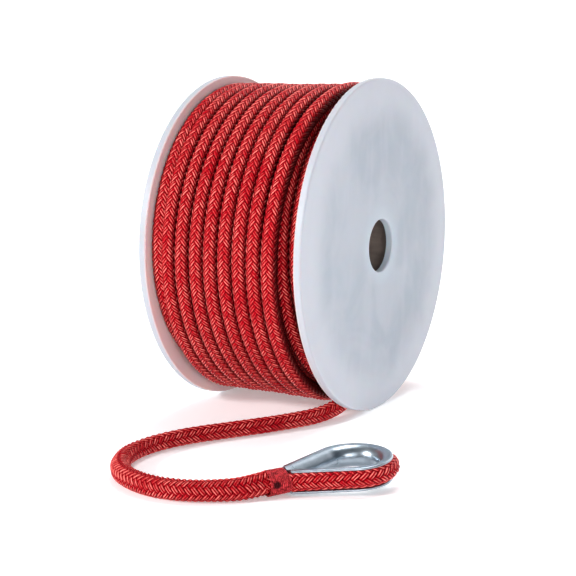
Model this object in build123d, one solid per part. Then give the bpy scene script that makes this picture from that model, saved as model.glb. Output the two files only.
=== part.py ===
from build123d import *

import math
import os

# Dock and anchor line: 3/8 in double-braid nylon wound on a plastic reel, with a thimble eye at its free end.
#
# Frame, in millimetres: the origin is the centre of the axle bore, +X runs along the axle towards the
# front flange, -Y is the side that the free end of the line leaves on, and +Z is up. The reel stands on
# its two rims, so the floor is at z = -flange_radius.

# Reel
flange_radius = 100.0
flange_thickness = 5.6
inside_width = 97.4            # between the flanges
bore_radius = 16.0             # axle hole through each flange
rim_slope_width = 17.0         # outer ring of the flange's outer face that falls towards the rim
rim_slope_drop = 0.7
rim_round = 1.3                # rounded outer corner of the rim
rim_inner_round = 0.7
bore_round = 0.8
seat_depth = 1.4               # shallow seat in each flange that the core tube stands in
seat_clearance = 0.1           # radial, between the seat and the core tube

# Core tube of kraft board, and the bead of hot-melt glue at each of its ends
core_outer_radius = 27.5
core_wall = 3.5
glue_bead = 2.2

# Line
line_diameter = 9.0
core_braid_diameter = 5.6      # inner braid of the double braid
turn_gap = 0.65                # between neighbouring turns
rim_margin = 4.3               # of bare flange outside the winding
layer_nesting = 0.543          # how far each layer sinks between the turns below it

# Eye splice: a teardrop round the thimble, with the line's tail buried back into itself
eye_bend_radius = 18.8         # of the line's centre round the crown of the thimble
eye_leg_spread = 9.2           # between the two legs' centres at the throat
leg_bend_radius = 14.0         # where the legs start to part
leg_straight = 0.28            # of each leg between that bend and where the legs join
throat_length = 12.0           # over which two legs become one thick line
throat_lead = 16.0             # straight run of line behind the throat
splice_diameter = 10.4         # of the line with its tail buried in it
seizing_length = 10.5
seizing_gap = 0.2              # between the seizing and the leg ends
twine_thickness = 0.8

# Thimble: a teardrop of galvanised steel channel, in the 3/8 in size
thimble_wall = 1.5
thimble_clearance = 0.1        # between the line and the thimble's groove
thimble_lip = 0.8              # of the rims beyond the line's centre
thimble_half_angle = 25.0      # of each straight side to the axis
thimble_point_gap = 1.0        # between the pointed end and where the legs join

# How the eye lies on the floor
eye_heading = 54.2             # of the eye's axis, from +X towards +Y
eye_pitch = 3.5                # the crown sits a little proud of the floor
eye_roll = 1.5
eye_centre_x = 112.6
eye_centre_y = -151.9

# Staple that holds the inner end of the line to the core tube
staple_wire = 1.0
staple_leg = 7.0
staple_edge = 3.0              # between the first turn and the front flange, beside the staple

line_radius = line_diameter / 2
splice_radius = splice_diameter / 2
floor_z = -flange_radius
winding_radius = flange_radius - rim_margin
turn_pitch = line_diameter + turn_gap
front_inner_face = inside_width / 2
outer_turns = int((inside_width - line_diameter) / turn_pitch)
outer_layer_width = outer_turns * turn_pitch
lead_off_x = front_inner_face - (inside_width - outer_layer_width) / 2
top_layer_radius = winding_radius - line_radius
layer_rise = line_diameter - layer_nesting

# The eye's legs and the thimble's point, as distances behind the crown's centre
leg_offset = eye_leg_spread / 2
leg_slope = math.radians(thimble_half_angle)
leg_bend = eye_bend_radius / math.sin(leg_slope) - leg_offset / math.tan(leg_slope)
leg_bend_reach = leg_bend_radius * math.tan(leg_slope / 2)
leg_end = leg_bend + leg_bend_reach + leg_straight
thimble_point = leg_end - thimble_point_gap


def ring(inner_radius, outer_radius, start_x, end_x):
    """A plain washer or tube along the axle."""
    disc = Pos(start_x, 0, 0) * Rot(0, 90, 0) * Circle(outer_radius)
    hole = Pos(start_x, 0, 0) * Rot(0, 90, 0) * Circle(inner_radius)
    return extrude(disc - hole, amount=end_x - start_x, dir=(1, 0, 0))


def turned(points):
    """A solid of revolution about the axle, from (x, radius) points."""
    outline = Polyline(*[(x, 0, radius) for x, radius in points], close=True)
    return revolve(make_face(outline), Axis.X, 360)


def circle_at(edge, radius):
    """A round section at the start of a path, square to it."""
    return Plane(origin=edge @ 0, z_dir=edge % 0) * Circle(radius)


def round_tube(path, radius):
    return sweep(circle_at(path, radius), path=path)


def flange():
    """The front flange: a disc with an axle hole, a sloped outer ring and a seat for the core tube."""
    inner_x = front_inner_face
    outer_x = inner_x + flange_thickness
    seat_radius = core_outer_radius + seat_clearance
    body = turned([
        (inner_x, seat_radius),
        (inner_x, flange_radius),
        (outer_x - rim_slope_drop, flange_radius),
        (outer_x, flange_radius - rim_slope_width),
        (outer_x, bore_radius),
        (inner_x + seat_depth, bore_radius),
        (inner_x + seat_depth, seat_radius),
    ])
    circles = body.edges().filter_by(GeomType.CIRCLE)
    rim = circles.filter_by(lambda e: abs(e.radius - flange_radius) < 1e-3).sort_by(Axis.X)
    body = fillet(rim[-1], rim_round)
    circles = body.edges().filter_by(GeomType.CIRCLE)
    rim = circles.filter_by(lambda e: abs(e.radius - flange_radius) < 1e-3).sort_by(Axis.X)
    body = fillet(rim[0], rim_inner_round)
    circles = body.edges().filter_by(GeomType.CIRCLE)
    bore = circles.filter_by(lambda e: abs(e.radius - bore_radius) < 1e-3).sort_by(Axis.X)
    return fillet(bore[-1], bore_round)


def core_tube(staple_solid):
    """The board tube that the line is wound on, standing in the seats of both flanges."""
    half_length = front_inner_face + seat_depth
    tube = ring(core_outer_radius - core_wall, core_outer_radius, -half_length, half_length)
    return tube - staple_solid


def glue_bead_ring():
    """The bead of glue inside the core tube, in its corner with the front flange."""
    face_x = front_inner_face + seat_depth
    wall = core_outer_radius - core_wall
    return turned([(face_x, wall - glue_bead), (face_x, wall), (face_x - glue_bead, wall)])


def staple():
    """A wire staple over the first turn at the front end of the core tube, its legs through the board."""
    centre_x = front_inner_face - line_radius - staple_edge
    crown_z = core_outer_radius + line_diameter + staple_wire / 2
    spread = line_radius + staple_wire / 2
    foot_z = core_outer_radius - staple_leg
    path = FilletPolyline(
        (centre_x - spread, 0, foot_z),
        (centre_x - spread, 0, crown_z),
        (centre_x + spread, 0, crown_z),
        (centre_x + spread, 0, foot_z),
        radius=staple_wire,
    )
    return round_tube(path, staple_wire / 2)


def winding(staple_solid, tail):
    """The outer shape of the wound line: full width but for one column of turns, which is a layer lower."""
    rear_face = -front_inner_face
    step_x = rear_face + outer_layer_width
    full = ring(core_outer_radius, winding_radius, rear_face, step_x)
    low = ring(core_outer_radius, winding_radius - layer_rise, step_x, front_inner_face)
    lead = Plane(origin=(lead_off_x, 0, top_layer_radius), z_dir=(0, 1, 0)) * Circle(line_radius)
    last_half_turn = revolve(lead, Axis.X, -180)
    pocket = Box(4 * staple_wire + line_diameter, 3 * staple_wire, line_diameter + 2 * staple_wire)
    pocket_x = staple_solid.bounding_box().center().X
    pocket_z = core_outer_radius + line_radius + staple_wire
    return full + low + last_half_turn - tail - Pos(pocket_x, 0, pocket_z) * pocket


def corner_radii(points):
    """The largest bend at each corner that leaves a little straight run between two bends."""
    radii = []
    for before, corner, after in zip(points, points[1:], points[2:]):
        run_in = Vector(*corner) - Vector(*before)
        run_out = Vector(*after) - Vector(*corner)
        half_turn = math.radians(run_in.get_angle(run_out)) / 2
        radii.append(0.45 * min(run_in.length, run_out.length) / math.tan(half_turn))
    return radii


def eye_place():
    """Where the eye's own frame lies: its origin is the crown's centre, +X its axis towards the crown."""
    pitch = math.radians(eye_pitch)
    lead_start = leg_end + throat_length + throat_lead
    centre_z = floor_z + splice_radius / math.cos(pitch) + lead_start * math.tan(pitch)
    level = Location((eye_centre_x, eye_centre_y, centre_z), (0, 0, eye_heading))
    return level * Rot(0, -eye_pitch, 0) * Rot(eye_roll, 0, 0)


def line_route():
    """The free line's route: to where its buried tail begins, and from there to the back of the throat."""
    rest = floor_z + line_radius
    rest_spliced = floor_z + splice_radius
    lead_start = eye_place() * Pos(-leg_end - throat_length - throat_lead, 0, 0)
    throat = eye_place() * Pos(-leg_end - throat_length, 0, 0)
    free = [
        (lead_off_x, 0, -top_layer_radius),
        (lead_off_x, -20, -top_layer_radius),
        (42.5, -47, rest),
        (30.5, -76, rest),
        (13.3, -104, rest),
        (-2.8, -129, rest),
        (-10.6, -154, rest),
        (-8.4, -182, rest_spliced),
    ]
    spliced = [
        (7.3, -208, rest_spliced),
        (30.5, -219.5, rest_spliced),
        (53.5, -218.5, rest_spliced),
        tuple(lead_start.position),
        tuple(throat.position),
    ]
    return free, spliced


def line_paths():
    """The free and the spliced stretch, as straight runs joined by arcs."""
    free, spliced = line_route()
    radii = corner_radii(free + spliced)
    print("free line's bend radii:", [round(radius, 1) for radius in radii])
    middle = tuple((a + b) / 2 for a, b in zip(free[-1], spliced[0]))
    corners = len(free) - 1
    free_path = FilletPolyline(*free, middle, radius=radii[:corners])
    spliced_path = FilletPolyline(middle, *spliced, radius=radii[corners:])
    return free_path, spliced_path


def report_volume(name, solid, path, section):
    expected = section * path.length
    print(f"{name}: length {path.length:.1f}, volume {solid.volume:.0f}, section x length {expected:.0f}")


def throat_section(distance, margin=0.0):
    """The oval section of the throat, in the eye's frame, this far behind the crown's centre."""
    share = (leg_end + throat_length - distance) / throat_length
    two_legs = (eye_leg_spread + line_diameter) / 2
    half_width = splice_radius + share * (two_legs - splice_radius) + margin
    half_height = splice_radius + share * (line_radius - splice_radius) + margin
    section_plane = Plane(origin=(-distance, 0, 0), x_dir=(0, 1, 0), z_dir=(1, 0, 0))
    return section_plane * Ellipse(half_width, half_height)


def throat():
    """Where the two legs of the eye become one thick line, in the eye's frame."""
    return loft([throat_section(leg_end + throat_length), throat_section(leg_end)], ruled=True)


def throat_seizing():
    """The twine wound round the throat, in the eye's frame."""
    front = leg_end + seizing_gap
    back = front + seizing_length
    wound = loft([throat_section(back, twine_thickness), throat_section(front, twine_thickness)], ruled=True)
    return wound - throat()


def eye_path():
    """The centre of the line round the thimble, from one leg's end to the other's, in the eye's frame."""
    spread = leg_offset
    leave_x = -leg_bend + leg_bend_reach * math.cos(leg_slope)
    leave_y = spread + leg_bend_reach * math.sin(leg_slope)
    touch_x = -eye_bend_radius * math.sin(leg_slope)
    touch_y = eye_bend_radius * math.cos(leg_slope)
    bend_x = -leg_bend - leg_bend_reach
    middle_x = bend_x + leg_bend_radius * math.sin(leg_slope / 2)
    middle_y = spread + leg_bend_radius * (1 - math.cos(leg_slope / 2))
    return Wire([
        Edge.make_line((-leg_end, spread), (bend_x, spread)),
        Edge.make_three_point_arc((bend_x, spread), (middle_x, middle_y), (leave_x, leave_y)),
        Edge.make_line((leave_x, leave_y), (touch_x, touch_y)),
        Edge.make_three_point_arc((touch_x, touch_y), (eye_bend_radius, 0), (touch_x, -touch_y)),
        Edge.make_line((touch_x, -touch_y), (leave_x, -leave_y)),
        Edge.make_three_point_arc((leave_x, -leave_y), (middle_x, -middle_y), (bend_x, -spread)),
        Edge.make_line((bend_x, -spread), (-leg_end, -spread)),
    ])


def thimble():
    """The steel thimble in the eye's frame: a round-bottomed channel bent to a teardrop, open outwards."""
    groove = line_radius + thimble_clearance
    back = groove + thimble_wall
    centre = eye_bend_radius
    lip = centre + thimble_lip
    nose = lip + thimble_wall / 2
    mid = groove + thimble_wall / 2
    outline = Wire([
        Edge.make_three_point_arc((centre, 0, back), (centre - back, 0, 0), (centre, 0, -back)),
        Edge.make_line((centre, 0, -back), (lip, 0, -back)),
        Edge.make_three_point_arc((lip, 0, -back), (nose, 0, -mid), (lip, 0, -groove)),
        Edge.make_line((lip, 0, -groove), (centre, 0, -groove)),
        Edge.make_three_point_arc((centre, 0, -groove), (centre - groove, 0, 0), (centre, 0, groove)),
        Edge.make_line((centre, 0, groove), (lip, 0, groove)),
        Edge.make_three_point_arc((lip, 0, groove), (nose, 0, mid), (lip, 0, back)),
        Edge.make_line((lip, 0, back), (centre, 0, back)),
    ])
    channel = Face(outline)
    turn = 90 + thimble_half_angle
    crown = revolve(channel, Axis.Z, turn)
    side = extrude(Rot(0, 0, turn) * channel, amount=2 * thimble_point,
                   dir=(-math.cos(leg_slope), -math.sin(leg_slope), 0))
    reach = 2 * thimble_point
    half_space = Pos(-thimble_point, 0, -reach / 2) * Box(2 * reach, reach, reach,
                                                          align=(Align.MIN, Align.MIN, Align.MIN))
    half = (crown + side) & half_space
    return half + mirror(half, about=Plane.XZ)


def main():
    front = flange()
    bead = glue_bead_ring()
    wire = staple()
    free_path, spliced_path = line_paths()
    tail = round_tube(free_path, line_radius)
    inner_braid = round_tube(free_path, core_braid_diameter / 2)
    spliced = round_tube(spliced_path, splice_radius)
    round_eye = round_tube(eye_path(), line_radius)
    report_volume("free line", tail, free_path, math.pi * line_radius ** 2)
    report_volume("spliced line", spliced, spliced_path, math.pi * splice_radius ** 2)
    report_volume("line round the eye", round_eye, eye_path(), math.pi * line_radius ** 2)
    placed = eye_place()
    parts = {
        "front_flange": front,
        "rear_flange": mirror(front, about=Plane.YZ),
        "core_tube": core_tube(wire),
        "front_glue_bead": bead,
        "rear_glue_bead": mirror(bead, about=Plane.YZ),
        "start_staple": wire,
        "wound_line": winding(wire, tail),
        "tail_cover": tail - inner_braid,
        "tail_core": inner_braid,
        "eye_splice": spliced + placed * throat(),
        "eye_line": placed * round_eye,
        "thimble": placed * thimble(),
        "throat_seizing": placed * throat_seizing(),
    }
    os.makedirs("parts", exist_ok=True)
    for name, solid in parts.items():
        export_step(solid, f"parts/{name}.step")


main()
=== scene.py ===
import math

import bmesh
import bpy
import numpy as np
from mathutils import Matrix, Vector


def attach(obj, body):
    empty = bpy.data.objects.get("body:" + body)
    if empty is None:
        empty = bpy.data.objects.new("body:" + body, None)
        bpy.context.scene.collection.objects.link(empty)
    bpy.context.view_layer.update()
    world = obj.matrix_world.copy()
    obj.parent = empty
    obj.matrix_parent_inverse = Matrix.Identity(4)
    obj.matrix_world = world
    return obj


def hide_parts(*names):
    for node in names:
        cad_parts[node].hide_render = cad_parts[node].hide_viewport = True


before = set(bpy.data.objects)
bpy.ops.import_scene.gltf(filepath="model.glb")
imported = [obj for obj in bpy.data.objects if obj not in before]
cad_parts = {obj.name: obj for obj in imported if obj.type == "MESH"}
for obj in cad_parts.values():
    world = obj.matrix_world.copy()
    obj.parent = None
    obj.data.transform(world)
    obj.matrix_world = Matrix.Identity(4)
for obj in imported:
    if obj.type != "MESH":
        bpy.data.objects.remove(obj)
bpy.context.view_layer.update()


# ---------------------------------------------------------------- Red nylon line: its yarn
# The cover of the double braid: sixteen flat strands of bright red nylon yarn, eight each way, woven
# over two and under two, which makes eight columns of slanting strands along the line.

strands_each_way = 8
braid_lead_wound = 0.0345      # along the line, for one turn of a strand round it
braid_lead_free = 0.0365
braid_lead_spliced = 0.0242    # where the buried tail swells the line, its strands lie steeper
braid_lead_eye = 0.0302
yarns_in_strand = 2
lot_step = 12.9898             # these three give each strand its own share of the painted highlight
lot_spread = 43.758
left_lots = 31


class Varying:
    """A number that varies over a surface: sums on it add Math nodes to its material."""

    def __init__(self, finish, socket):
        self.finish = finish
        self.socket = socket

    def math(self, operation, *others):
        return self.finish.node("ShaderNodeMath", {"operation": operation}, [self, *others])

    def __add__(self, other):
        return self.math("ADD", other)

    def __radd__(self, other):
        return self.math("ADD", other)

    def __sub__(self, other):
        return self.math("SUBTRACT", other)

    def __rsub__(self, other):
        return self.finish.node("ShaderNodeMath", {"operation": "SUBTRACT"}, [other, self])

    def __mul__(self, other):
        return self.math("MULTIPLY", other)

    def __truediv__(self, other):
        return self.math("DIVIDE", other)

    def __mod__(self, other):
        return self.math("FLOORED_MODULO", other)

    def __lt__(self, other):
        return self.math("LESS_THAN", other)

    def floor(self):
        return self.math("FLOOR")

    def sine(self):
        return self.math("SINE")

    def root(self):
        return self.math("SQRT")

    def distance(self, point):
        """How far a place is from a point."""
        settings = {"operation": "DISTANCE"}
        return self.finish.node("ShaderNodeVectorMath", settings, [self, point], output=1)

    def smooth(self, low, high):
        """0 below low, 1 above high, and an even rise between."""
        settings = {"interpolation_type": "SMOOTHSTEP"}
        values = {"Value": self, "From Min": low, "From Max": high}
        return self.finish.node("ShaderNodeMapRange", settings, values)


class Finish:
    """A material whose nodes are made one call at a time."""

    def __init__(self, name):
        self.material = bpy.data.materials.new(name)
        self.material.use_nodes = True
        self.tree = self.material.node_tree
        self.shader = self.tree.nodes["Principled BSDF"]

    def node(self, kind, settings=None, values=(), output=0):
        """Adds a node, sets it, fills its sockets with numbers, colours or links, and gives one output."""
        made = self.tree.nodes.new(kind)
        for name, setting in (settings or {}).items():
            setattr(made, name, setting)
        pairs = values.items() if isinstance(values, dict) else enumerate(values)
        for key, value in pairs:
            self.fill(made.inputs[key], value)
        return Varying(self, made.outputs[output])

    def fill(self, socket, value):
        if isinstance(value, Varying):
            self.tree.links.new(value.socket, socket)
        else:
            socket.default_value = value

    def set(self, **values):
        """Fills the shader's sockets, named with _ for a space."""
        for name, value in values.items():
            self.fill(self.shader.inputs[name.replace("_", " ")], value)

    def mix(self, share, first, second):
        """A colour between two colours."""
        settings = {"data_type": "RGBA"}
        return self.node("ShaderNodeMix", settings, {0: share, 6: first, 7: second}, output=2)

    def place(self):
        """The point on the object, in metres."""
        return self.node("ShaderNodeTexCoord", output=3)

    def parts_of(self, vector):
        """A vector's three numbers."""
        split = self.node("ShaderNodeSeparateXYZ", None, [vector])
        return [Varying(self, socket) for socket in split.socket.node.outputs]

    def noise(self, size, detail=2.0, stretch=(1, 1, 1), distortion=0.0):
        """Soft mottling, its patches about this size in metres."""
        scaled = self.node("ShaderNodeMapping", None, {"Vector": self.place(), "Scale": stretch})
        values = {"Vector": scaled, "Scale": 1 / size, "Detail": detail, "Distortion": distortion}
        return self.node("ShaderNodeTexNoise", None, values)

    def bump(self, height, distance):
        return self.node("ShaderNodeBump", None, {"Strength": 1.0, "Distance": distance, "Height": height})


def red_nylon():
    """Braided yarn: u goes once round the line and v counts the strands' leads along it."""
    finish = Finish("red_nylon")
    u, v, _ = finish.parts_of(finish.node("ShaderNodeTexCoord", output=2))
    right = (u - v) * strands_each_way
    left = (u + v) * strands_each_way
    right_count = right.floor()
    left_count = left.floor()
    right_on_top = ((right_count + left_count) % 4) < 2
    across = (right % 1) * right_on_top + (left % 1) * (1 - right_on_top)
    along_right = ((right_count + left) % 4) / 2
    along_left = ((left_count + right) % 4) / 2 - 1
    along = along_right * right_on_top + along_left * (1 - right_on_top)
    count = right_count * right_on_top + (left_count + left_lots) * (1 - right_on_top)
    crown = (across * math.pi).sine().math("MAXIMUM", 0.0).root()
    reach = (along * math.pi).sine().math("MAXIMUM", 0.0).root()
    strand = crown * (reach * 0.6 + 0.4)
    yarn = (((across * yarns_in_strand) % 1) * math.pi).sine()
    strand_shine = ((count * lot_step).sine() * lot_spread) % 1
    fibres = finish.noise(0.0010, detail=3.0)
    glint_patches = finish.noise(0.02, detail=2.0)
    # Painted shade: the red is darkened in the grooves between a strand's yarns, which the mesh is too
    # coarse to hollow out; on the yarns it is the dye's own red.
    yarn_dye_and_groove_shade = finish.mix(yarn.smooth(0.1, 0.8), (0.24, 0.0, 0.004, 1), (0.47, 0.0005, 0.009, 1))
    # Painted highlight: a pale pink line along the crown of each yarn, strongest mid-float, in patches, and
    # stronger on some strands than on others.
    gloss = fibres * 0.8 + strand_shine * 0.35 + glint_patches * 0.4 - 0.25
    glint = yarn.smooth(0.72, 1.0) * reach.smooth(0.4, 0.95) * gloss.smooth(0.2, 0.8)
    body = finish.mix(glint, yarn_dye_and_groove_shade, (1.0, 0.25, 0.21, 1))
    # Painted shade: the hollows between the strands are darkened, over the relief the mesh already has.
    cloth = finish.mix(strand.smooth(0.25, 0.7), (0.13, 0.0, 0.002, 1), body)
    # Painted shade: where the turns on the reel lie against each other, their sides are darkened almost to
    # black.
    painted_side_shade = finish.node("ShaderNodeAttribute", {"attribute_name": "painted_side_shade"}, output=2)
    finish.set(
        Base_Color=finish.mix(painted_side_shade, cloth, (0.015, 0.0, 0.0005, 1)),
        Roughness=0.46 - yarn * 0.14 + fibres * 0.08,
        Normal=finish.bump(yarn * 0.8 + fibres * 0.2, 0.00022),
        Specular_IOR_Level=0.1,
        Specular_Tint=(1.0, 0.30, 0.28, 1),
    )
    return finish.material


nylon = red_nylon()


# ---------------------------------------------------------------- Red nylon line: how it is wound
# Thirty metres of 9 mm line, wound on the core in eight layers that go to and fro between the flanges.
# It climbs the side that faces -Y, goes over the top and down the back. The last turn leaves
# underneath, beside the front flange.

line_radius = 0.0045
first_layer_radius = 0.032
layer_rise = 0.008457
layers = 8
top_radius = first_layer_radius + (layers - 1) * layer_rise
flange_gap = 0.0974
outermost = flange_gap / 2 - line_radius
points_per_turn = 16
half_step = 0.5                # the smooth line touches the plan between two control points
polygon_ratio = math.cos(math.pi / points_per_turn)

# Turn number, place along the axle, radius. A whole number of turns is where the line passes the
# middle of the -Y side on its way up, counted so that turn 0 is the first of the top layer.
line_start = -68.75
inner_layer_turns = 9.7333
crossing_turns = 9.2           # of those, the turns that take the line from flange to flange
climb_turns = 0.24             # the last of them, where it climbs onto the next layer
settle_turns = 0.06
line_leaves = 8.75             # underneath, beside the front flange
loosened = 0.0016              # the last turns stand a little off the ones below
start_inset = 0.003            # the line's inner end keeps this much off the flange
winding_plan = [(line_start - settle_turns, outermost - start_inset, first_layer_radius)]
for layer in range(layers - 2):
    side = 1 if layer % 2 == 0 else -1
    start = line_start + layer * inner_layer_turns
    radius = first_layer_radius + layer * layer_rise
    begin = outermost - start_inset if layer == 0 else side * outermost
    winding_plan.append((start + settle_turns, begin, radius))
    winding_plan.append((start + crossing_turns, -side * outermost, radius))
    winding_plan.append((start + inner_layer_turns - climb_turns, -side * outermost, radius))
winding_plan += [
    (-10.22, outermost, top_radius - 2 * layer_rise),
    (-10.03, outermost - 0.0015, top_radius - layer_rise),
    (-0.89, -outermost, top_radius - layer_rise),
    (-0.22, -outermost, top_radius - layer_rise),
    (-0.12, -outermost, top_radius - 0.0045),
    (-0.04, -0.0443, top_radius - 0.0003),
    (0.25, -0.0443, top_radius - 0.0004),
    (0.40, -0.0432, top_radius),
    (1.0, -0.0378, top_radius),
    (5.0, -0.0378 + 4 * 0.00957, top_radius),
    (8.0, 0.0292, top_radius + 0.5 * loosened),
    (8.25, 0.0345, top_radius + loosened),
    (line_leaves, 0.0434, top_radius),
]
plan_turns, plan_along, plan_radius = (np.array(column) for column in zip(*winding_plan))


def wound_points(first_turn, last_turn):
    """Control points of the winding, so many to a turn, with its turns a little uneven."""
    points = []
    for step in range(round((last_turn - first_turn) * points_per_turn)):
        turn = first_turn + (step + half_step) / points_per_turn
        angle = 2 * math.pi * turn
        unevenness = 0.00012 * math.sin(2.3 * turn + 1.0) + 0.00010 * math.sin(5.9 * turn)
        radius = (np.interp(turn, plan_turns, plan_radius) + 0.8 * unevenness) / polygon_ratio
        along = np.interp(turn, plan_turns, plan_along) + unevenness
        points.append((along, -radius * math.cos(angle), radius * math.sin(angle)))
    return points


def nurbs(name, points, resolution):
    """A smooth line with these points as its control points."""
    curve = bpy.data.curves.new(name, "CURVE")
    curve.dimensions = "3D"
    curve.resolution_u = resolution
    spline = curve.splines.new("NURBS")
    spline.points.add(len(points) - 1)
    for point, place in zip(spline.points, points):
        point.co = (*place, 1)
    spline.order_u = 3
    spline.use_endpoint_u = True
    piece = bpy.data.objects.new(name, curve)
    bpy.context.scene.collection.objects.link(piece)
    return piece


def read_line(points, resolution):
    """The smooth line's own points, closely spaced."""
    piece = nurbs("route", points, resolution)
    mesh = bpy.data.meshes.new_from_object(piece)
    places = np.empty(len(mesh.vertices) * 3)
    mesh.vertices.foreach_get("co", places)
    bpy.data.objects.remove(piece)
    bpy.data.meshes.remove(mesh)
    return places.reshape(-1, 3)


# ---------------------------------------------------------------- Red nylon line: the inner layers
# Six layers that the outer ones hide, packed tight. Its inner end is stapled to the core tube.

visible_from = -10.35          # the turn from which the line can be seen
inner_line_radius = line_radius - 0.0003
inner_points = wound_points(line_start - settle_turns, visible_from)
inner_line = nurbs("inner_layers", inner_points, 3)
inner_line.data.bevel_depth = inner_line_radius
inner_line.data.bevel_resolution = 2
inner_line.data.use_fill_caps = True
inner_line.data.materials.append(nylon)
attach(inner_line, "root")
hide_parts("wound_line")


# ---------------------------------------------------------------- Red nylon line: outer layers and free end
# One unbroken line: the seventh layer, the top layer with its last turn, then the free end that lies
# on the floor, runs back in a wide bend and goes round the thimble, with its tail buried in itself.

eye_place = (
    Matrix.Translation((0.1126, -0.1519, -0.0904))
    @ Matrix.Rotation(math.radians(54.2), 4, "Z")
    @ Matrix.Rotation(math.radians(-3.5), 4, "Y")
    @ Matrix.Rotation(math.radians(1.5), 4, "X")
)
crown_radius = 0.0188          # of the line's middle, round the thimble's wide end
leg_slope = math.radians(25)
free_route = [
    (0.0434, -0.020, -0.0912),
    (0.0425, -0.047, -0.0951),
    (0.0305, -0.076, -0.0951),
    (0.0133, -0.104, -0.0951),
    (-0.0028, -0.129, -0.0951),
    (-0.0106, -0.154, -0.0951),
    (-0.0084, -0.182, -0.0944),
    (0.0073, -0.208, -0.0944),
    (0.0305, -0.2195, -0.0944),
    (0.0535, -0.2185, -0.0944),
]
leg_route = [(-0.066, 0.0), (-0.056, 0.0), (-0.047, 0.0016), (-0.0405, 0.0040), (-0.0346, 0.0052)]


def eye_points():
    """Control points of the line from behind the throat, round the thimble's crown and back."""
    crown_steps = 8
    turn = (math.pi + 2 * leg_slope) / crown_steps
    corner_radius = crown_radius / math.cos(turn / 2)
    touch = (-crown_radius * math.sin(leg_slope), crown_radius * math.cos(leg_slope))
    back_off = crown_radius * math.tan(turn / 2)
    before = (touch[0] - back_off * math.cos(leg_slope), touch[1] - back_off * math.sin(leg_slope))
    points = [*leg_route, before]
    for step in range(crown_steps):
        angle = math.pi / 2 + leg_slope - turn * (step + 0.5)
        points.append((corner_radius * math.cos(angle), corner_radius * math.sin(angle)))
    points.append((before[0], -before[1]))
    points += [(x, -y) for x, y in reversed(leg_route[1:])]
    return [tuple(eye_place @ Vector((x, y, 0))) for x, y in points]


weave_turn = 1 / 8             # how far the weave is turned round the line
route = wound_points(visible_from, line_leaves) + free_route + eye_points()
centre_line = read_line(route, 32)
steps = np.linalg.norm(np.diff(centre_line, axis=0), axis=1)
distances = np.concatenate([[0], np.cumsum(steps)])


def distance_at_turn(turn):
    """How far along the line it has been wound this many turns."""
    spans = (turn - visible_from) * points_per_turn - half_step
    return distances[round(spans * (len(centre_line) - 1) / (len(route) - 2))]


exit_distance = distance_at_turn(line_leaves)
line_end = distances[-1]
throat_from_eye = 0.050
round_the_eye = 0.12           # at least this much line lies past the throat
behind_throat = eye_place @ Vector((-throat_from_eye, 0, 0))
before_eye = distances < line_end - round_the_eye
from_throat = np.linalg.norm(centre_line[before_eye] - np.array(behind_throat), axis=1)
throat_distance = distances[np.argmin(from_throat)]


def line_frames(along):
    """Centres at these distances along the line, and two directions across it.

    The first direction points away from the axle on the reel and is carried on from there.
    """
    centres = np.stack([np.interp(along, distances, centre_line[:, k]) for k in range(3)], axis=1)
    tangents = np.gradient(centres, axis=0)
    tangents /= np.linalg.norm(tangents, axis=1)[:, None]
    outward = centres * (0, 1, 1)
    outward -= tangents * np.sum(outward * tangents, axis=1)[:, None]
    outward /= np.linalg.norm(outward, axis=1)[:, None]
    for k in range(1, len(along)):
        if along[k] > exit_distance:
            carried = outward[k - 1] - tangents[k] * np.dot(outward[k - 1], tangents[k])
            outward[k] = carried / np.linalg.norm(carried)
    return centres, outward, np.cross(tangents, outward)


def strand_height(u, v):
    """How high the braid's surface stands, from 0 in the hollows to 1 on a strand's crown."""
    right = (u - v) * strands_each_way
    left = (u + v) * strands_each_way
    right_count = np.floor(right)
    left_count = np.floor(left)
    right_on_top = (right_count + left_count) % 4 < 2
    across = np.where(right_on_top, right - right_count, left - left_count)
    along = np.where(right_on_top, (right_count + left) % 4, (left_count + right) % 4 - 2) / 2
    crown = np.sqrt(np.clip(np.sin(np.pi * across), 0, 1))
    reach = np.sqrt(np.clip(np.sin(np.pi * along), 0, 1))
    return crown * (0.55 + 0.45 * reach)


def line_thickness(along):
    """The line's radius: the buried tail swells it, most of all at the throat."""
    past_exit = along - exit_distance
    to_throat = along - throat_distance
    buried = np.interp(past_exit, [0.165, 0.215], [0, 0.0007])
    swell = np.interp(to_throat, [-0.030, -0.004, 0.004, 0.012], [0, 0.0005, 0.0004, -0.0007])
    end = np.interp(along - line_end, [-0.016, 0], [0, -0.0015])
    return line_radius + buried + swell + end


def strand_turns(along):
    """How many leads of the strands fit in this much line."""
    known = np.linspace(0, line_end, 4000)
    free_lead = np.interp(known - exit_distance, [-0.02, 0.02, 0.165, 0.20],
                          [braid_lead_wound, braid_lead_free, braid_lead_free, braid_lead_spliced])
    in_eye = np.interp(known - throat_distance, [0, 0.012], [0, 1])
    lead = free_lead + (braid_lead_eye - free_lead) * in_eye
    total = np.concatenate([[0], np.cumsum(np.diff(known) / lead[1:])])
    return np.interp(along, known, total)


mean_height = 0.72             # of the weave, so that its relief stands evenly in and out
pressed_over = 0.06            # the pressing fades over this much line before the exit
pressed_down = 0.00005
pressed_wide = 0.00030
side_shade_from = 0.86          # cosine of the angle from the outside where the painted shade on a turn's side begins
side_shade_over = 0.55
side_shade_most = 0.93
path_step = 0.002              # between the points that tell how a stretch runs


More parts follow.
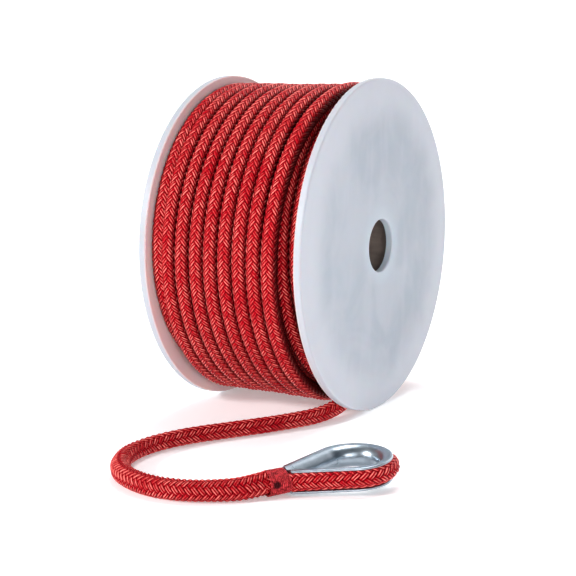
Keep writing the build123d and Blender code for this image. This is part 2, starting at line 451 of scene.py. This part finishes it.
def braided_line(name, start, end, step, around, relief, crowding):
    """A stretch of the line as a closed mesh tube, its woven relief in the mesh.

    crowding gathers the faces on the side away from the axle, from 0, even, towards 1.
    """
    stations = round((end - start) / step)
    along = np.linspace(start, end, stations + 1)
    centres, outward, sideways = line_frames(along)
    radii = line_thickness(along)
    turns = strand_turns(along)
    pressed = np.clip((exit_distance - along) / pressed_over, 0, 1)
    bm = bmesh.new()
    bm.loops.layers.uv.new("UVMap")
    bmesh.ops.create_grid(bm, x_segments=around, y_segments=stations, size=1, calc_uvs=True)
    mesh = bpy.data.meshes.new(name)
    bm.to_mesh(mesh)
    places = np.empty(len(mesh.vertices) * 3)
    mesh.vertices.foreach_get("co", places)
    places = places.reshape(-1, 3)
    columns = (places[:, 0] + 1) / 2
    rows = np.rint((places[:, 1] + 1) / 2 * stations).astype(int)

    def round_the_line(share):
        return 0.5 + share + crowding / (2 * math.pi) * np.sin(2 * math.pi * share)

    u = round_the_line(columns)
    height = relief * (strand_height(u + weave_turn, turns[rows]) - mean_height)
    out = np.cos(2 * math.pi * u) * (radii[rows] + height - pressed_down * pressed[rows])
    side = np.sin(2 * math.pi * u) * (radii[rows] + height + pressed_wide * pressed[rows])
    places = centres[rows] + outward[rows] * out[:, None] + sideways[rows] * side[:, None]
    mesh.vertices.foreach_set("co", places.ravel())
    # Painted shade on the sides of the wound turns, stored on the mesh for the material and faded out
    # before the line leaves the reel.
    turned_away = np.clip((side_shade_from - np.cos(2 * math.pi * u)) / side_shade_over, 0, 1)
    painted_side_shade = mesh.attributes.new("painted_side_shade", "FLOAT", "POINT")
    painted_side_shade.data.foreach_set("value", side_shade_most * turned_away * pressed[rows])
    layer = mesh.uv_layers.active
    corners = np.empty(len(layer.uv) * 2)
    layer.uv.foreach_get("vector", corners)
    corners = corners.reshape(-1, 2)
    shares = corners[:, 0].copy()
    corners[:, 0] = round_the_line(shares) + weave_turn
    corners[:, 1] = turns[np.rint(corners[:, 1] * stations).astype(int)]
    layer.uv.foreach_set("vector", corners.ravel())
    bm.clear()
    bm.from_mesh(mesh)
    bmesh.ops.remove_doubles(bm, verts=[vert for vert in bm.verts if vert.is_boundary], dist=1e-7)
    bmesh.ops.holes_fill(bm, edges=[edge for edge in bm.edges if edge.is_boundary], sides=0)
    bmesh.ops.recalc_face_normals(bm, faces=bm.faces)
    for face in bm.faces:
        face.smooth = True
    bm.to_mesh(mesh)
    bm.free()
    mesh.materials.append(nylon)
    piece = bpy.data.objects.new(name, mesh)
    bpy.context.scene.collection.objects.link(piece)
    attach(piece, "root")
    return piece, centres[:: max(1, round(path_step / step))]


free_piece_from = 8.60         # from this turn on, the line is one piece with the free end
stretches = [
    ("seventh_layer_start", visible_from + 0.05, -8.85, 0.0006, 36, 0.0011, 0.55),
    ("seventh_layer", -8.85, -0.40, 0.0025, 16, 0.0, 0.0),
    ("top_layer_1", -0.40, 1.90, 0.0006, 36, 0.0011, 0.55),
    ("top_layer_2", 1.90, 4.20, 0.0006, 36, 0.0011, 0.55),
    ("top_layer_3", 4.20, 6.50, 0.0006, 36, 0.0011, 0.55),
    ("top_layer_4", 6.50, free_piece_from, 0.0006, 36, 0.0011, 0.55),
]
for name, first_turn, last_turn, step, around, relief, crowding in stretches:
    start = distance_at_turn(first_turn)
    end = distance_at_turn(last_turn)
    wound, wound_path = braided_line(name, start, end, step, around, relief, crowding)
    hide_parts("wound_line")

free_start = distance_at_turn(free_piece_from)
free_end, free_path = braided_line("free_end", free_start, line_end, 0.00045, 64, 0.0012, 0.0)
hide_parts("tail_cover", "tail_core", "eye_splice", "eye_line")


# ---------------------------------------------------------------- Seizing
# Red whipping twine wound tight round the throat, over both legs, its end tucked through the line.

twine_radius = 0.00048
wraps = 11
points_per_wrap = 20
seizing_front = -0.0386        # measured from the eye's middle
seizing_back = -0.0487
seizing_points = []
for step in range(wraps * points_per_wrap):
    share = step / (wraps * points_per_wrap)
    angle = 2 * math.pi * step / points_per_wrap
    behind = seizing_front + share * (seizing_back - seizing_front)
    half_width = 0.0090 - share * 0.0030 + twine_radius
    half_height = 0.0050 + share * 0.0008 + twine_radius
    place = eye_place @ Vector((behind, half_width * math.cos(angle), half_height * math.sin(angle)))
    seizing_points.append(tuple(place))
seizing = nurbs("seizing_twine", seizing_points, 3)
seizing.data.bevel_depth = twine_radius
seizing.data.bevel_resolution = 2
seizing.data.use_fill_caps = True

twine_finish = Finish("whipping_twine")
# The twine's red goes from nearly black to bright in random patches about a millimetre across.
twine_mottle = twine_finish.noise(0.0013, detail=2.0)
# Painted shade: a nearly black spot where the twine's end is tucked through the line stands in for the
# shadow in that hole, which the mesh doesn't have.
tuck_place = eye_place @ Vector((-0.0458, -0.0073, 0.0008))
from_tuck = twine_finish.place().distance(tuck_place)
mottled_twine = twine_finish.mix(twine_mottle.smooth(0.3, 0.7), (0.15, 0.0, 0.003, 1), (0.66, 0.045, 0.055, 1))
twine_finish.set(
    Base_Color=twine_finish.mix(from_tuck.smooth(0.0012, 0.0025), (0.035, 0.0, 0.002, 1), mottled_twine),
    Roughness=0.6,
    Normal=twine_finish.bump(twine_finish.noise(0.0005), 0.0001),
    Specular_IOR_Level=0.3,
    Specular_Tint=(1.0, 0.4, 0.4, 1),
)
seizing.data.materials.append(twine_finish.material)
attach(seizing, "root")
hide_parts("throat_seizing")


# ---------------------------------------------------------------- Thimble
# A teardrop of pressed steel channel, hot-dip galvanised: bluish grey with a soft bright sheen.

galvanised = Finish("galvanised_steel")
spangle = galvanised.noise(0.005, detail=1.0, distortion=0.6)
galvanised.set(
    Base_Color=galvanised.mix(spangle, (0.27, 0.33, 0.38, 1), (0.50, 0.56, 0.62, 1)),
    Metallic=1.0,
    Roughness=0.24 + spangle * 0.12,
    Normal=galvanised.bump(spangle, 0.00002),
)
thimble = bpy.data.objects["thimble"]
thimble.material_slots[0].material = galvanised.material


# ---------------------------------------------------------------- Flanges
# Two round flanges of natural polyethylene, injection moulded: milky, smooth and a little see-through.
# They are paler towards the rim, a painted highlight, and a pink painted on their inner sides stands in for
# the red light that the line throws on them.

plastic = Finish("natural_polyethylene")
plastic_x, plastic_y, plastic_z = plastic.parts_of(plastic.place())
# Painted reflection: the flanges' inner faces are tinted pink for the red light that the wound line throws
# on them.
painted_red_reflection = 1 - plastic_x.math("ABSOLUTE").smooth(0.0487, 0.0500)
from_axle = (plastic_y * plastic_y + plastic_z * plastic_z).root()
cloud = plastic.noise(0.035, detail=3.0, distortion=0.8)
faint = plastic.noise(0.006, detail=2.0)
# Painted highlight: each flange's outer ring is paler, for the light that its slightly sloped rim catches.
lit_outer_ring = (from_axle + cloud * 0.004).smooth(0.070, 0.094)
round_bore = 1 - from_axle.smooth(0.017, 0.027)
streaks = plastic.noise(0.012, detail=3.0, stretch=(1, 1, 0.25))
milky = plastic.mix(cloud.smooth(0.3, 0.7), (0.375, 0.415, 0.475, 1), (0.445, 0.475, 0.53, 1))
streaked = plastic.mix(streaks.smooth(0.45, 0.75) * 0.4, milky, (0.50, 0.52, 0.575, 1))
with_lit_ring = plastic.mix(lit_outer_ring * 0.8, streaked, (0.57, 0.585, 0.64, 1))
bluer = plastic.mix(round_bore * 0.5, with_lit_ring, (0.51, 0.58, 0.64, 1))
edged = plastic.mix(from_axle.smooth(0.0993, 0.0998), bluer, (0.46, 0.48, 0.53, 1))
plastic.set(
    Base_Color=plastic.mix(painted_red_reflection * 0.55, edged, (0.90, 0.60, 0.55, 1)),
    Roughness=0.42 + faint * 0.12,
    Normal=plastic.bump(cloud * 0.6 + faint * 0.4, 0.0002),
    Subsurface_Weight=0.25,
    Subsurface_Scale=0.004,
    Specular_IOR_Level=0.4,
)
for flange in ("front_flange", "rear_flange"):
    bpy.data.objects[flange].material_slots[0].material = plastic.material


# ---------------------------------------------------------------- Core tube, glue and staple
# A spiral-wound kraft board tube, glued into the flanges, with the line's inner end stapled to it.

kraft = Finish("kraft_board")
pulp = kraft.noise(0.003, detail=4.0, stretch=(0.3, 1, 1))
kraft.set(
    Base_Color=kraft.mix(pulp, (0.15, 0.115, 0.10, 1), (0.24, 0.19, 0.16, 1)),
    Roughness=0.85,
    Normal=kraft.bump(pulp, 0.0002),
)
bpy.data.objects["core_tube"].material_slots[0].material = kraft.material

glue = Finish("hot_melt_glue")
glue_cloud = glue.noise(0.003)
glue.set(
    Base_Color=glue.mix(glue_cloud, (0.62, 0.52, 0.33, 1), (0.74, 0.66, 0.47, 1)),
    Roughness=0.3,
    Normal=glue.bump(glue_cloud, 0.0004),
)
for bead in ("front_glue_bead", "rear_glue_bead"):
    bpy.data.objects[bead].material_slots[0].material = glue.material

wire = Finish("staple_wire")
drawn = wire.noise(0.001, stretch=(1, 1, 0.1))
wire.set(
    Base_Color=wire.mix(drawn, (0.50, 0.50, 0.52, 1), (0.66, 0.66, 0.68, 1)),
    Metallic=1.0,
    Roughness=0.35,
)
bpy.data.objects["start_staple"].material_slots[0].material = wire.material


# ---------------------------------------------------------------- Studio
# A white paper sweep, broad soft lights, and a narrow one that falls on the front flange's near side.

sweep_half_width = 4.0
sweep_near_edge = -9.0
sweep_bend_from = 2.2
sweep_bend_radius = 1.0
floor_level = -0.1
wall_height = 3.0
sweep_profile = bmesh.new()
edge_verts = [
    sweep_profile.verts.new((-sweep_half_width, sweep_near_edge, floor_level)),
    sweep_profile.verts.new((-sweep_half_width, sweep_bend_from, floor_level)),
]
sweep_profile.edges.new(edge_verts)
corner = bmesh.ops.spin(
    sweep_profile,
    geom=[edge_verts[1]],
    cent=(-sweep_half_width, sweep_bend_from, floor_level + sweep_bend_radius),
    axis=(1, 0, 0),
    angle=math.pi / 2,
    steps=16,
    use_duplicate=False,
)
wall_foot = corner["geom_last"][0]
wall = bmesh.ops.extrude_vert_indiv(sweep_profile, verts=[wall_foot])
bmesh.ops.translate(sweep_profile, verts=wall["verts"], vec=(0, 0, wall_height))
sheet = bmesh.ops.extrude_edge_only(sweep_profile, edges=sweep_profile.edges[:])
sheet_verts = [part for part in sheet["geom"] if isinstance(part, bmesh.types.BMVert)]
bmesh.ops.translate(sweep_profile, verts=sheet_verts, vec=(2 * sweep_half_width, 0, 0))
bmesh.ops.recalc_face_normals(sweep_profile, faces=sweep_profile.faces)
for face in sweep_profile.faces:
    face.smooth = True
sweep_mesh = bpy.data.meshes.new("studio_sweep")
sweep_profile.to_mesh(sweep_mesh)
sweep_profile.free()
sweep = bpy.data.objects.new("studio_sweep", sweep_mesh)
bpy.context.scene.collection.objects.link(sweep)
paper = Finish("white_paper")
paper.set(Base_Color=(0.93, 0.93, 0.94, 1), Roughness=0.9, Specular_IOR_Level=0.1)
paper.set(Emission_Color=(1, 1, 1, 1), Emission_Strength=0.30)
sweep_mesh.materials.append(paper.material)


def soft_light(name, place, target, size, power, spread=180):
    light = bpy.data.lights.new(name, "AREA")
    light.shape = "DISK"
    light.size = size
    light.energy = power
    light.spread = math.radians(spread)
    lamp = bpy.data.objects.new(name, light)
    lamp.location = place
    aim = Vector(target) - Vector(place)
    lamp.rotation_euler = aim.to_track_quat("-Z", "Y").to_euler()
    bpy.context.scene.collection.objects.link(lamp)


soft_light("key_light", (-1.2, -1.7, 0.9), (0, -0.05, 0), 0.5, 42)
soft_light("fill_light", (0.8, -1.8, 0.6), (0, -0.05, 0), 1.0, 4)
soft_light("side_light", (0.40, -0.42, 0.06), (0.055, -0.05, 0.01), 0.25, 0.10, spread=45)
soft_light("top_light", (0.1, 0.4, 2.2), (0, 0, 0), 1.4, 10)
soft_light("backdrop_light", (0, 1.0, 2.6), (0, 3.2, 0.8), 1.5, 85)

world = bpy.data.worlds.new("studio_air")
bpy.context.scene.world = world
world.use_nodes = True
air = world.node_tree
direction = air.nodes.new("ShaderNodeTexCoord")
split = air.nodes.new("ShaderNodeSeparateXYZ")
fade = air.nodes.new("ShaderNodeMapRange")
fade.interpolation_type = "SMOOTHSTEP"
fade.inputs["From Min"].default_value = -0.7
fade.inputs["From Max"].default_value = 0.9
shade = air.nodes.new("ShaderNodeMix")
shade.data_type = "RGBA"
shade.inputs[6].default_value = (1.0, 1.0, 1.0, 1)
shade.inputs[7].default_value = (0.34, 0.39, 0.47, 1)
air.links.new(direction.outputs["Generated"], split.inputs[0])
air.links.new(split.outputs["X"], fade.inputs["Value"])
air.links.new(fade.outputs[0], shade.inputs[0])
air.links.new(shade.outputs[2], air.nodes["Background"].inputs["Color"])
air.nodes["Background"].inputs["Strength"].default_value = 0.30
bpy.context.scene.view_settings.view_transform = "Standard"


# ---------------------------------------------------------------- Camera
# It stands a little above the reel, in front of it and to the right, and looks slightly down.

camera = bpy.data.objects.new("camera", bpy.data.cameras.new("camera"))
bpy.context.scene.collection.objects.link(camera)
bpy.context.scene.camera = camera
camera.data.lens = 94.2
camera.location = (0.4427, -0.8130, 0.1248)
camera_direction = Vector((-0.47968, 0.86175, -0.16526))
camera.rotation_euler = camera_direction.to_track_quat("-Z", "Y").to_euler()
